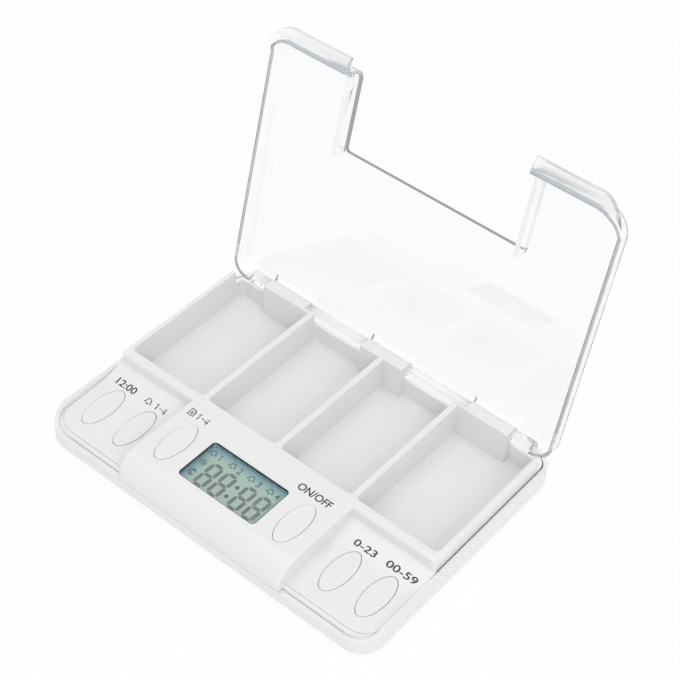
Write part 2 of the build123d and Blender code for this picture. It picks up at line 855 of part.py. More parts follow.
# Battery and sounder -------------------------------------------------------------------------------

def make_cell(side):
    """One button cell, with its smaller cap towards the door."""
    cap_height = contact_thickness
    can = post(cell_radius, side * cell_x, button_y, cell_base_z + cap_height, cell_top_z)
    return can + post(
        cell_radius - holder_wall, side * cell_x, button_y, cell_base_z, cell_base_z + cap_height
    )


def make_contact(side):
    """A flat strip over one cell, seated on the holder, with a tab up to the board."""
    x = side * cell_x
    reach = holder_half_depth - contact_edge
    z_high = holder_top_z + contact_thickness
    strip = block(
        x - contact_half_width, x + contact_half_width,
        button_y - reach, button_y + reach, holder_top_z, z_high
    )
    half = contact_tab_half_width
    return strip + block(
        x - half, x + half, button_y, button_y + contact_thickness, z_high, main_board_height
    )


def make_link():
    """The strip on the door that joins the two cells."""
    half = cell_x + link_overhang
    z_high = door_inner_z + contact_thickness
    return block(-half, half, button_y - link_half_width, button_y + link_half_width, door_inner_z, z_high)


def make_door():
    """The battery door: a plate with a tongue along each side and grip grooves underneath."""
    door = block(-door_half_width, door_half_width, door_front_y, door_back_y, door_underside, door_inner_z)
    door += block(
        -tongue_half_width, tongue_half_width, door_front_y, door_back_y, tongue_low_z, door_inner_z
    )
    for number in range(grip_count):
        y = door_back_y - grip_pitch * (number + 1)
        groove = block(
            -grip_half_length, grip_half_length,
            y - grip_width / 2, y + grip_width / 2, 0, door_underside + grip_depth
        )
        door -= groove
    return door


def make_buzzer():
    """The sounder: a brass disc with its ceramic on top."""
    z_top = floor_thickness + buzzer_thickness
    disc = post(buzzer_radius, buzzer_x, buzzer_y, floor_thickness, z_top)
    return disc + post(ceramic_radius, buzzer_x, buzzer_y, z_top, z_top + ceramic_thickness)


# All pieces ----------------------------------------------------------------------------------------

pieces = {
    "bottom_shell": make_bottom_shell(),
    "top_shell": add_front_openings(add_bosses(make_top_shell())),
    "lid": make_lid(),
    "display_window": make_window(),
    "display_gasket": make_gasket(),
    "display_glass": make_glass(),
    "display_frame": make_frame(),
    "zebra_strip_front": make_zebra_strip(glass_front_y, 1),
    "zebra_strip_back": make_zebra_strip(glass_back_y, -1),
    "main_board": make_main_board(),
    "controller_blob": make_blob(),
    "clock_crystal": make_crystal(),
    "key_board_left": make_key_board(-1),
    "key_board_right": make_key_board(1),
    "ribbon_left": make_ribbon(-1),
    "ribbon_right": make_ribbon(1),
    "key_pad_left": make_key_pad([-outer_button_x, -inner_button_x], key_board_top, panel_button_base),
    "key_pad_right": make_key_pad([inner_button_x, outer_button_x], key_board_top, panel_button_base),
    "key_pad_memo": make_key_pad([-console_button_x], main_board_top, console_button_base),
    "key_pad_on_off": make_key_pad([console_button_x], main_board_top, console_button_base),
    "battery_door": make_door(),
    "battery_cell_left": make_cell(-1),
    "battery_cell_right": make_cell(1),
    "contact_link": make_link(),
    "contact_left": make_contact(-1),
    "contact_right": make_contact(1),
    "buzzer": make_buzzer(),
}
for name, x in button_rows.items():
    pieces[name] = make_button(x)
for number, (x, y) in enumerate(case_screw_places, start=1):
    pieces[f"case_screw_{number}"] = screw(x, y, case_screw_seat, case_screw_length)
for number, (x, y) in enumerate(board_screw_places, start=1):
    pieces[f"board_screw_{number}"] = screw(x, y, main_board_height, board_screw_length)

for name, piece in pieces.items():
    export_step(piece, f"parts/{name}.step")
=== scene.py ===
import math

import bmesh
import bpy
from mathutils import Matrix, Vector


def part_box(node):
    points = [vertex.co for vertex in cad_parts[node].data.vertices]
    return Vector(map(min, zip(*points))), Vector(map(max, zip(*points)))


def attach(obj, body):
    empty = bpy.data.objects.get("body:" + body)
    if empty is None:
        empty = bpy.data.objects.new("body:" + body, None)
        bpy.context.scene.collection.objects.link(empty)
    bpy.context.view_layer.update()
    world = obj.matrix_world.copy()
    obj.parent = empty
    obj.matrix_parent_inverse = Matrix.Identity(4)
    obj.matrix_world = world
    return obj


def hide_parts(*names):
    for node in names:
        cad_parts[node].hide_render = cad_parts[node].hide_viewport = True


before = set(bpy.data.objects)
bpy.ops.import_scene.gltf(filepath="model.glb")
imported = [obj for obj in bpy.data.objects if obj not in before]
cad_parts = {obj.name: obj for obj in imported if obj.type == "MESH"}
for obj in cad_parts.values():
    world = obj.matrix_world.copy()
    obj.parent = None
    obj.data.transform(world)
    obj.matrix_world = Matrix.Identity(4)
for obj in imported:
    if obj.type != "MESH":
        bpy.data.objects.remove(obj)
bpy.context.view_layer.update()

# Lower shell ---------------------------------------------------------------------------------------
# A shallow tub of injection-moulded ABS in a neutral white. It carries the battery bay, the sound
# holes and four screw holes, and its rim shows as a ledge all round the tray.

mm = 0.001
same_point = 0.002 * mm
flat_angle = math.radians(0.4)
sharp_angle = math.radians(35)
shell_edge = 0.12 * mm


def linear(code):
    """An sRGB hex colour as the linear values that Blender's sockets take."""
    values = [int(code[i:i + 2], 16) / 255 for i in (1, 3, 5)]
    return [v / 12.92 if v <= 0.04045 else ((v + 0.055) / 1.055) ** 2.4 for v in values] + [1.0]


def add(tree, kind, inputs=(), **settings):
    """Adds a node, sets it, and links or fills its inputs."""
    node = tree.nodes.new(kind)
    for name, value in settings.items():
        setattr(node, name, value)
    for socket, value in dict(inputs).items():
        if isinstance(value, bpy.types.NodeSocket):
            tree.links.new(value, node.inputs[socket])
        else:
            node.inputs[socket].default_value = value
    return node


def new_material(name):
    """An empty material, its node tree, and the place on the piece that its patterns start from."""
    material = bpy.data.materials.new(name)
    material.use_nodes = True
    tree = material.node_tree
    tree.nodes.clear()
    return material, tree, add(tree, "ShaderNodeTexCoord").outputs["Object"]


def bake(piece):
    """Turns the piece's modifiers into a plain mesh."""
    bpy.context.view_layer.update()
    graph = bpy.context.evaluated_depsgraph_get()
    baked = bpy.data.meshes.new_from_object(piece.evaluated_get(graph), depsgraph=graph)
    piece.modifiers.clear()
    piece.data = baked


def smooth(piece, angle):
    """Smooths the faces up to the given angle, with the large ones kept flat to the eye."""
    piece.data.shade_smooth()
    piece.data.set_sharp_from_angle(angle=angle)
    weighted = piece.modifiers.new("flat_faces", "WEIGHTED_NORMAL")
    weighted.keep_sharp = True
    weighted.weight = 80
    bake(piece)


def from_cad(node, name, body, edge=0.0):
    """A merged and smoothed copy of a CAD node's mesh that stands for it. An edge over zero is the
    radius that its sharp edges are rounded to."""
    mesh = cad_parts[node].data.copy()
    mesh.name = name
    sculpt = bmesh.new()
    sculpt.from_mesh(mesh)
    bmesh.ops.remove_doubles(sculpt, verts=sculpt.verts, dist=same_point)
    bmesh.ops.dissolve_limit(sculpt, angle_limit=flat_angle, verts=sculpt.verts, edges=sculpt.edges)
    sculpt.to_mesh(mesh)
    sculpt.free()
    piece = bpy.data.objects.new(name, mesh)
    bpy.context.scene.collection.objects.link(piece)
    if edge:
        bevel = piece.modifiers.new("edges", "BEVEL")
        bevel.width = edge
        bevel.segments = 2
        bevel.limit_method = "ANGLE"
        bevel.angle_limit = sharp_angle
        bevel.use_clamp_overlap = True
        bevel.miter_outer = "MITER_ARC"
        bake(piece)
    smooth(piece, sharp_angle)
    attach(piece, body)
    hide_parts(node)
    return piece


def dress(piece, material):
    """Gives a piece its only material."""
    piece.data.materials.clear()
    piece.data.materials.append(material)


def moulded_abs(name, colour, shade, roughness, polished_below=0.0):
    """Injection-moulded ABS: a faint cloudiness in the colour and a fine spark-eroded grain. The real
    grain is about 0.05 mm and is drawn at 0.3 mm, the finest that shows. Below polished_below the tool
    was polished, so the tray's floors shine a little more than its walls."""
    material, tree, place = new_material(name)
    cloud = add(tree, "ShaderNodeTexNoise", {"Vector": place, "Scale": 1 / (14 * mm), "Detail": 3.0})
    tone = add(tree, "ShaderNodeMix", {
        "Factor": cloud.outputs["Fac"], "A": linear(colour), "B": linear(shade),
    }, data_type="RGBA")
    grain = add(tree, "ShaderNodeTexNoise", {"Vector": place, "Scale": 1 / (0.3 * mm), "Detail": 2.0})
    bump = add(tree, "ShaderNodeBump", {
        "Height": grain.outputs["Fac"], "Strength": 0.12, "Distance": 0.02 * mm,
    })
    skin = add(tree, "ShaderNodeBsdfPrincipled", {
        "Base Color": tone.outputs["Result"], "IOR": 1.53, "Roughness": roughness,
        "Normal": bump.outputs["Normal"],
    })
    if polished_below:
        height = add(tree, "ShaderNodeSeparateXYZ", {"Vector": place}).outputs["Z"]
        gloss = add(tree, "ShaderNodeMapRange", {
            "Value": height, "From Min": polished_below, "From Max": polished_below + 0.5 * mm,
            "To Min": 0.16, "To Max": roughness,
        })
        tree.links.new(gloss.outputs["Result"], skin.inputs["Roughness"])
    add(tree, "ShaderNodeOutputMaterial", {"Surface": skin.outputs["BSDF"]})
    return material


white_abs = moulded_abs("white_moulded_abs", "#ECECEC", "#E9E9EA", 0.36, polished_below=2.62 * mm)
lower_shell = from_cad("bottom_shell", "lower_shell", "case", edge=shell_edge)
dress(lower_shell, white_abs)

# Upper shell ---------------------------------------------------------------------------------------
# The tray with its four compartments, the two low side panels and the raised console, moulded in one
# piece of the same white ABS. Its floors come from a polished part of the mould.

upper_shell = from_cad("top_shell", "upper_shell", "case", edge=shell_edge)
dress(upper_shell, white_abs)

# Battery door --------------------------------------------------------------------------------------
# A sliding plate of white ABS under the case, with grip grooves, closed over the two button cells.
# The nickel-plated link that joins the cells is fixed to its inside and slides with it.

door_edge = 0.1 * mm
door = from_cad("battery_door", "door", "battery_door", edge=door_edge)
dress(door, moulded_abs("white_door_abs", "#ECECEC", "#E8E8E9", 0.4))

# Buttons -------------------------------------------------------------------------------------------
# Six oval push buttons in white ABS, each a loose cap held behind the panel by its flange, so that a
# fine dark gap shows all round it.

button_abs = moulded_abs("white_button_abs", "#ECECEC", "#EAEAEB", 0.32)
for name in ("time", "alarm", "memo", "on_off", "hour", "minute"):
    cap = from_cad(f"{name}_button", f"{name}_cap", f"{name}_button")
    dress(cap, button_abs)

# Printed labels ------------------------------------------------------------------------------------
# Near-black ink, pad printed on the moulded surface behind each button: plain numbers, two small
# pictures and ON/OFF. The film is 0.02 mm thick and follows the panel.

rim_top = 12.6
level_height = 6.5
level_start = -36.0
level_slope = 0.025
scoop_start = -20.0
scoop_radius = 23.82
scoop_middle = (-20.595, 30.71)
ink_depth = 0.02


def panel_top(y):
    """The height of the low side panels at y, in millimetres: level, then scooped up to the tray's wall."""
    if y < scoop_start:
        return level_height + level_slope * (y - level_start)
    return scoop_middle[1] - math.sqrt(scoop_radius ** 2 - (y - scoop_middle[0]) ** 2)


def printed(name, colour):
    """Ink or liquid crystal marks: a dark film, a few hundredths of a millimetre thick, slightly uneven.
    Ink's real mottle is about 0.1 mm and is drawn at 0.4 mm, the finest that shows."""
    material, tree, place = new_material(name)
    mottle = add(tree, "ShaderNodeTexNoise", {"Vector": place, "Scale": 1 / (0.4 * mm)})
    lighter = [min(1.0, v * 1.3) for v in linear(colour)[:3]] + [1.0]
    tone = add(tree, "ShaderNodeMix", {
        "Factor": mottle.outputs["Fac"], "A": linear(colour), "B": lighter,
    }, data_type="RGBA")
    ink = add(tree, "ShaderNodeBsdfPrincipled", {"Base Color": tone.outputs["Result"], "Roughness": 0.45})
    add(tree, "ShaderNodeOutputMaterial", {"Surface": ink.outputs["BSDF"]})
    return material


def figures_mesh(text, bold, box, top, thickness):
    """Figures as a closed mesh, fitted into box (x0, x1, y0, y1, mm) and laid on the surface top(y)."""
    words = bpy.data.curves.new("figures", "FONT")
    words.body = text
    words.offset = bold
    words.extrude = 0.01
    words.resolution_u = 4
    holder = bpy.data.objects.new("figures", words)
    bpy.context.scene.collection.objects.link(holder)
    bpy.context.view_layer.update()
    graph = bpy.context.evaluated_depsgraph_get()
    mesh = bpy.data.meshes.new_from_object(holder.evaluated_get(graph), depsgraph=graph)
    bpy.data.objects.remove(holder)
    sculpt = bmesh.new()
    sculpt.from_mesh(mesh)
    bmesh.ops.remove_doubles(sculpt, verts=sculpt.verts, dist=1e-4)
    low = [min(v.co[i] for v in sculpt.verts) for i in (0, 1)]
    high = [max(v.co[i] for v in sculpt.verts) for i in (0, 1)]
    for v in sculpt.verts:
        x = box[0] + (v.co.x - low[0]) / (high[0] - low[0]) * (box[1] - box[0])
        y = box[2] + (v.co.y - low[1]) / (high[1] - low[1]) * (box[3] - box[2])
        z = top(y) + (thickness if v.co.z > 0 else -thickness)
        v.co = (x * mm, y * mm, z * mm)
    sculpt.to_mesh(mesh)
    sculpt.free()
    return mesh


def joined(name, meshes, material, body):
    """One piece from several meshes."""
    sculpt = bmesh.new()
    for mesh in meshes:
        sculpt.from_mesh(mesh)
    together = bpy.data.meshes.new(name)
    sculpt.to_mesh(together)
    sculpt.free()
    piece = bpy.data.objects.new(name, together)
    bpy.context.scene.collection.objects.link(piece)
    dress(piece, material)
    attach(piece, body)
    return piece


def rim_level(y):
    """The height of the console's top, the same everywhere."""
    return rim_top


black_ink = printed("black_pad_printing_ink", "#26282B")
labels = []
# Each label: its text, how much bolder it is made, its box (x0, x1, y0, y1, mm), and what it lies on.
for text, bold, box, top in (
    ("12:00", 0.014, (-48.1, -41.6, -16.3, -14.2), panel_top),
    ("ON/OFF", 0.014, (12.2, 22.3, -15.35, -13.07), rim_level),
    ("0-23", 0.016, (30.7, 37.3, -16.1, -14.25), panel_top),
    ("00-59", 0.016, (40.4, 49.4, -16.05, -14.1), panel_top),
):
    labels.append(figures_mesh(text, bold, box, top, ink_depth))
joined("printed_figures", labels, black_ink, "case")


def new_tree(name, sizes):
    """An empty Geometry Nodes tree with a mesh in, the named sizes and a material in, and a mesh out."""
    tree = bpy.data.node_groups.new(name, "GeometryNodeTree")
    tree.interface.new_socket("Geometry", in_out="INPUT", socket_type="NodeSocketGeometry")
    for label in sizes:
        tree.interface.new_socket(label, in_out="INPUT", socket_type="NodeSocketFloat")
    tree.interface.new_socket("Material", in_out="INPUT", socket_type="NodeSocketMaterial")
    tree.interface.new_socket("Geometry", in_out="OUTPUT", socket_type="NodeSocketGeometry")
    return tree, tree.nodes.new("NodeGroupInput").outputs


def close_tree(tree, geometry, given):
    """Ends a tree: its instances made real, and its material set."""
    real = add(tree, "GeometryNodeRealizeInstances", {"Geometry": geometry})
    dressed = add(tree, "GeometryNodeSetMaterial", {
        "Geometry": real.outputs[0], "Material": given["Material"],
    })
    add(tree, "NodeGroupOutput", {0: dressed.outputs[0]})


def grow(name, mesh, tree, values, body):
    """A piece made by a tree from a mesh, baked to a plain mesh."""
    piece = bpy.data.objects.new(name, mesh)
    bpy.context.scene.collection.objects.link(piece)
    maker = piece.modifiers.new("maker", "NODES")
    maker.node_group = tree
    for item in tree.interface.items_tree:
        if item.in_out == "INPUT" and item.name in values:
            maker[item.identifier] = values[item.name]
    bake(piece)
    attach(piece, body)
    return piece


def lines_mesh(name, lines):
    """A mesh of plain edges. Each line is (closed, points), its points (x, y, z) in millimetres."""
    mesh = bpy.data.meshes.new(name)
    corners = []
    edges = []
    for closed, points in lines:
        first = len(corners)
        corners += [tuple(c * mm for c in p) for p in points]
        edges += [(first + i, first + i + 1) for i in range(len(points) - 1)]
        if closed:
            edges.append((len(corners) - 1, first))
    mesh.from_pydata(corners, edges, [])
    return mesh


stroke_tree, given = new_tree("stroke_along_lines", ("Stroke Width", "Stroke Thickness"))
line = add(stroke_tree, "GeometryNodeMeshToCurve", {"Mesh": given["Geometry"]})
upright = add(stroke_tree, "GeometryNodeSetCurveNormal", {"Curve": line.outputs[0]}, mode="Z_UP")
section = add(stroke_tree, "GeometryNodeCurvePrimitiveQuadrilateral", {
    "Width": given["Stroke Width"], "Height": given["Stroke Thickness"],
})
swept = add(stroke_tree, "GeometryNodeCurveToMesh", {
    "Curve": upright.outputs[0], "Profile Curve": section.outputs[0], "Fill Caps": True,
})
close_tree(stroke_tree, swept.outputs[0], given)


def bell_lines(x, y, width, height, top):
    """A bell in outline with its clapper, about (x, y)."""
    side = [(-1.0, -0.62), (-0.72, -0.36), (-0.62, 0.1), (-0.42, 0.62), (0.0, 0.86)]
    dome = side + [(-a, b) for a, b in reversed(side[:-1])]
    clapper = [(-0.22, -0.62), (0.0, -0.98), (0.22, -0.62)]
    lines = []
    for closed, shape in ((True, dome), (False, clapper)):
        places = [(x + a * width / 2, y + b * height / 2) for a, b in shape]
        lines.append((closed, [(a, b, top(b)) for a, b in places]))
    return lines


def sheet_lines(x, y, width, height, top):
    """A sheet of paper with a folded corner and two lines of writing, about (x, y)."""
    a, b = width / 2, height / 2
    edge = [(-a, -b), (a, -b), (a, 0.4 * b), (0.3 * a, b), (-a, b)]
    lines = [(True, [(x + p, y + q, top(y + q)) for p, q in edge])]
    for q in (-0.4 * b, 0.15 * b):
        lines.append((False, [(x - 0.5 * a, y + q, top(y + q)), (x + 0.5 * a, y + q, top(y + q))]))
    return lines


def one_to_four(x, y, height, top):
    """The figures 1-4 as plain strokes, starting at x with their middle at y."""
    half = height / 2
    strokes = [
        [(0.0, 0.5 * half), (0.5, half), (0.5, -half)],
        [(1.35, 0.0), (2.05, 0.0)],
        [(3.6, -0.35 * half), (2.5, -0.35 * half), (3.25, half), (3.25, -half)],
    ]
    return [(False, [(x + a, y + b, top(y + b)) for a, b in stroke]) for stroke in strokes]


panel_row_y = -15.25
console_row_y = -14.05
pictures = bell_lines(-37.0, panel_row_y, 2.3, 2.1, panel_top)
pictures += one_to_four(-34.6, panel_row_y, 1.9, panel_top)
pictures += sheet_lines(-22.9, console_row_y, 1.7, 2.1, rim_level)
pictures += one_to_four(-21.1, console_row_y, 2.0, rim_level)
sizes = {"Stroke Width": 0.32 * mm, "Stroke Thickness": 0.04 * mm, "Material": black_ink}
grow("printed_pictures", lines_mesh("pictures", pictures), stroke_tree, sizes, "case")

# Seam tongue ---------------------------------------------------------------------------------------
# The thin tongue moulded along each side panel's edge, which closes the seam to the lower shell from
# inside. It is the same white ABS and is seen only as the pale bottom of that fine gap.

seam_x = 51.325
tongue_start = -11.2
tongue_step = 0.9
tongue_steps = 20
corner_radius = 6.575
corner_y = -29.5
corner_steps = 12
tongue_depth = 0.4
side_edge_height = 8.3
front_edge_height = 5.3
fall_start = -30.5
fall_length = 5.5


def seam_edge(y):
    """The height of the lower shell's edge at y: level at the sides, and lower at the front corners."""
    fall = max(0.0, min(1.0, (fall_start - y) / fall_length))
    return side_edge_height - (side_edge_height - front_edge_height) * fall


tongue_lines = []
for side in (-1, 1):
    run = [(seam_x, tongue_start - tongue_step * i) for i in range(tongue_steps + 1)]
    for i in range(corner_steps + 1):
        a = i / corner_steps * math.pi / 2
        run.append((seam_x - corner_radius * (1 - math.cos(a)), corner_y - corner_radius * math.sin(a)))
    heights = [min(panel_top(y), seam_edge(y)) - tongue_depth for x, y in run]
    tongue_lines.append((False, [(side * x, y, z) for (x, y), z in zip(run, heights)]))
sizes = {"Stroke Width": 0.9 * mm, "Stroke Thickness": 0.3 * mm, "Material": white_abs}
grow("seam_tongue", lines_mesh("tongue_lines", tongue_lines), stroke_tree, sizes, "case")

# Display -------------------------------------------------------------------------------------------
# A liquid crystal cell behind a clear acrylic window, in a black gasket. Its figures and marks are
# dark grey liquid crystal on a grey-green polariser. The shade that the window's walls cast on it is
# painted into the polariser's colour, in teal.


def clear_plastic(name, tint, density, ior, painted_glow=0.42, matt_above=0.0):
    """A polished clear plastic: full transmission, and a little absorption inside that darkens long
    paths, so the rims and corners are grey-blue and the faces stay clear. A painted glow in the tint,
    which the sheet gives off inside, stands in for the light that strays inside it. Above matt_above
    the mould was blasted, which makes a pale frosted grip."""
    material, tree, place = new_material(name)
    flow = add(tree, "ShaderNodeTexNoise", {"Vector": place, "Scale": 1 / (12 * mm), "Detail": 1.0})
    bump = add(tree, "ShaderNodeBump", {
        "Height": flow.outputs["Fac"], "Strength": 0.05, "Distance": 0.01 * mm,
    })
    body = add(tree, "ShaderNodeBsdfPrincipled", {
        "Base Color": linear("#FFFFFF"), "IOR": ior, "Roughness": 0.0, "Transmission Weight": 1.0,
        "Normal": bump.outputs["Normal"],
    })
    if matt_above:
        height = add(tree, "ShaderNodeSeparateXYZ", {"Vector": place}).outputs["Z"]
        frost = add(tree, "ShaderNodeMapRange", {
            "Value": height, "From Min": matt_above, "From Max": matt_above + 0.6 * mm, "To Max": 0.35,
        })
        tree.links.new(frost.outputs["Result"], body.inputs["Roughness"])
    inside = add(tree, "ShaderNodeVolumeAbsorption", {"Color": linear(tint), "Density": density})
    # Painted glow: the plastic gives off light of its tint inside, though it is no lamp.
    painted_inner_glow = add(tree, "ShaderNodeEmission", {"Color": linear(tint), "Strength": density * painted_glow})
    both = add(tree, "ShaderNodeAddShader", {0: inside.outputs["Volume"], 1: painted_inner_glow.outputs["Emission"]})
    add(tree, "ShaderNodeOutputMaterial", {
        "Surface": body.outputs["BSDF"], "Volume": both.outputs["Shader"],
    })
    return material


pane = from_cad("display_window", "display_pane", "case")
# The window gives off the same painted glow inside, at the default strength.
dress(pane, clear_plastic("clear_acrylic", "#DDE6E6", 10.0, 1.49))
pane.visible_shadow = False


def black_moulding(name, colour, roughness, grain_size):
    """Black rubber, ABS or resin: nearly black, with a fine grain of the given size."""
    material, tree, place = new_material(name)
    grain = add(tree, "ShaderNodeTexNoise", {"Vector": place, "Scale": 1 / grain_size})
    bump = add(tree, "ShaderNodeBump", {
        "Height": grain.outputs["Fac"], "Strength": 0.2, "Distance": 0.02 * mm,
    })
    lighter = [v * 1.4 for v in linear(colour)[:3]] + [1.0]
    tone = add(tree, "ShaderNodeMix", {
        "Factor": grain.outputs["Fac"], "A": linear(colour), "B": lighter,
    }, data_type="RGBA")
    skin = add(tree, "ShaderNodeBsdfPrincipled", {
        "Base Color": tone.outputs["Result"], "Roughness": roughness, "Normal": bump.outputs["Normal"],
    })
    add(tree, "ShaderNodeOutputMaterial", {"Surface": skin.outputs["BSDF"]})
    return material


gasket = from_cad("display_gasket", "gasket", "case")
dress(gasket, black_moulding("black_gasket_rubber", "#1C1F22", 0.6, 0.25 * mm))
dress(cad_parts["display_frame"], black_moulding("black_moulded_abs", "#202224", 0.45, 0.3 * mm))

window_low, window_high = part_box("display_gasket")
cell_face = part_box("display_glass")[1][2]


def display_ground():
    """The cell's polariser: grey-green, with the shade of the back and side walls of its window painted
    into its colour in teal. The painted shade reaches about 3 mm out from the walls."""
    material, tree, place = new_material("polariser_with_painted_wall_shade")
    x, y = add(tree, "ShaderNodeSeparateXYZ", {"Vector": place}).outputs[:2]
    back = add(tree, "ShaderNodeMath", {0: window_high[1], 1: y}, operation="SUBTRACT")
    left = add(tree, "ShaderNodeMath", {0: x, 1: window_low[0]}, operation="SUBTRACT")
    right = add(tree, "ShaderNodeMath", {0: window_high[0], 1: x}, operation="SUBTRACT")
    weaker = add(tree, "ShaderNodeMath", {
        0: right.outputs[0], 1: 1.6, 2: 0.8 * mm,
    }, operation="MULTIPLY_ADD")
    sides = add(tree, "ShaderNodeMath", {
        0: left.outputs[0], 1: weaker.outputs[0], 2: 2.0 * mm,
    }, operation="SMOOTH_MIN")
    nearest = add(tree, "ShaderNodeMath", {
        0: back.outputs[0], 1: sides.outputs[0], 2: 2.0 * mm,
    }, operation="SMOOTH_MIN")
    reach = add(tree, "ShaderNodeMath", {0: nearest.outputs[0], 1: 4 * mm}, operation="DIVIDE")
    cloud = add(tree, "ShaderNodeTexNoise", {"Vector": place, "Scale": 1 / (3 * mm)})
    uneven = add(tree, "ShaderNodeMath", {
        0: cloud.outputs["Fac"], 1: 0.06, 2: reach.outputs[0],
    }, operation="MULTIPLY_ADD")
    # Painted shade of the window's walls: dark teal at the walls, grey-green about 3 mm out.
    ramp = add(tree, "ShaderNodeValToRGB", {"Fac": uneven.outputs[0]})
    shaded, lit = ramp.color_ramp.elements
    shaded.color = linear("#2F5F6B")
    shaded.position = 0.05
    lit.color = linear("#8BA59A")
    lit.position = 0.85
    ramp.color_ramp.elements.new(0.35).color = linear("#5F8C91")
    film = add(tree, "ShaderNodeBsdfPrincipled", {"Base Color": ramp.outputs["Color"], "Roughness": 0.5})
    add(tree, "ShaderNodeOutputMaterial", {"Surface": film.outputs["BSDF"]})
    return material


dress(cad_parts["display_glass"], display_ground())

digit_tree, given = new_tree("seven_segment_bars", (
    "Level Length", "Upright Length", "Bar Width", "Film Thickness",
))
place = add(digit_tree, "ShaderNodeSeparateXYZ", {0: add(digit_tree, "GeometryNodeInputPosition").outputs[0]})
side = add(digit_tree, "ShaderNodeMath", {0: place.outputs["X"]}, operation="SIGN")
radius = add(digit_tree, "ShaderNodeMath", {0: given["Bar Width"], 1: math.sqrt(3)}, operation="DIVIDE")
bars = []
for label in ("Level Length", "Upright Length"):
    ring = add(digit_tree, "GeometryNodeMeshCircle", {
        "Vertices": 6, "Radius": radius.outputs[0],
    }, fill_type="NGON")
    half = add(digit_tree, "ShaderNodeMath", {0: given[label], 1: 0.5}, operation="MULTIPLY")
    stretch = add(digit_tree, "ShaderNodeMath", {
        0: half.outputs[0], 1: given["Bar Width"],
    }, operation="SUBTRACT")
    shift = add(digit_tree, "ShaderNodeMath", {
        0: side.outputs[0], 1: stretch.outputs[0],
    }, operation="MULTIPLY")
    pointed = add(digit_tree, "ShaderNodeMath", {
        0: place.outputs["X"], 1: math.sqrt(3) - 1, 2: shift.outputs[0],
    }, operation="MULTIPLY_ADD")
    offset = add(digit_tree, "ShaderNodeCombineXYZ", {"X": pointed.outputs[0]})
    flat = add(digit_tree, "GeometryNodeSetPosition", {
        "Geometry": ring.outputs[0], "Offset": offset.outputs[0],
    })
    thick = add(digit_tree, "GeometryNodeExtrudeMesh", {
        "Mesh": flat.outputs[0], "Offset Scale": given["Film Thickness"],
    })
    under = add(digit_tree, "GeometryNodeFlipFaces", {"Mesh": flat.outputs[0]})
    both = add(digit_tree, "GeometryNodeJoinGeometry", {0: thick.outputs[0]})
    digit_tree.links.new(under.outputs[0], both.inputs[0])
    solid = add(digit_tree, "GeometryNodeMergeByDistance", {"Geometry": both.outputs[0], "Distance": 1e-7})
    bars.append(add(digit_tree, "GeometryNodeGeometryToInstance", {0: solid.outputs[0]}))
choice = add(digit_tree, "GeometryNodeJoinGeometry", {0: bars[1].outputs[0]})
digit_tree.links.new(bars[0].outputs[0], choice.inputs[0])
kind = add(digit_tree, "GeometryNodeInputNamedAttribute", {"Name": "upright"}, data_type="INT")
turn = add(digit_tree, "GeometryNodeInputNamedAttribute", {"Name": "turn"}, data_type="FLOAT")
angle = add(digit_tree, "ShaderNodeCombineXYZ", {"Z": turn.outputs[0]})
placed = add(digit_tree, "GeometryNodeInstanceOnPoints", {
    "Points": given["Geometry"], "Instance": choice.outputs[0], "Pick Instance": True,
    "Instance Index": kind.outputs[0], "Rotation": angle.outputs[0],
})
close_tree(digit_tree, placed.outputs[0], given)

digit_places = (-6.52, -2.02, 4.41, 9.0)
digit_row_y = -26.1
digit_width = 3.72
digit_height = 8.66
bar_width = 1.0
bar_gap = 0.14
digit_slant = 0.03
film_height = cell_face / mm + 0.01
reach_x = (digit_width - bar_width) / 2
reach_y = (digit_height - bar_width) / 2
points, uprights, turns = [], [], []
for x in digit_places:
    # The middle of each bar and whether it stands upright: three level bars, then four upright ones.
    for px, py, is_upright in (
        (0, reach_y, 0), (0, 0, 0), (0, -reach_y, 0),
        (-reach_x, reach_y / 2, 1), (reach_x, reach_y / 2, 1),
        (-reach_x, -reach_y / 2, 1), (reach_x, -reach_y / 2, 1),
    ):
        points.append(((x + px + py * digit_slant) * mm, (digit_row_y + py) * mm, film_height * mm))
        uprights.append(is_upright)
        turns.append(math.pi / 2 - math.atan(digit_slant) if is_upright else 0.0)
places = bpy.data.meshes.new("bar_places")
places.from_pydata(points, [], [])
places.attributes.new("upright", "INT", "POINT").data.foreach_set("value", uprights)
places.attributes.new("turn", "FLOAT", "POINT").data.foreach_set("value", turns)
segment_film = printed("liquid_crystal_segments", "#4C5251")
grow("display_digits", places, digit_tree, {
    "Level Length": (2 * reach_x - 2 * bar_gap) * mm, "Upright Length": (reach_y - 2 * bar_gap) * mm,
    "Bar Width": bar_width * mm, "Film Thickness": 0.02 * mm, "Material": segment_film,
}, "case")


def cell_level(y):
    """The height of the liquid crystal marks, the same everywhere."""
    return film_height + 0.01


def round_points(x, y, radius, count, start=0.0, sweep=2 * math.pi):
    """Points on an arc at the cell's face."""
    steps = count if sweep >= 2 * math.pi else count - 1
    angles = [start + sweep * i / steps for i in range(count)]
    return [(x + radius * math.cos(a), y + radius * math.sin(a), cell_level(y)) for a in angles]


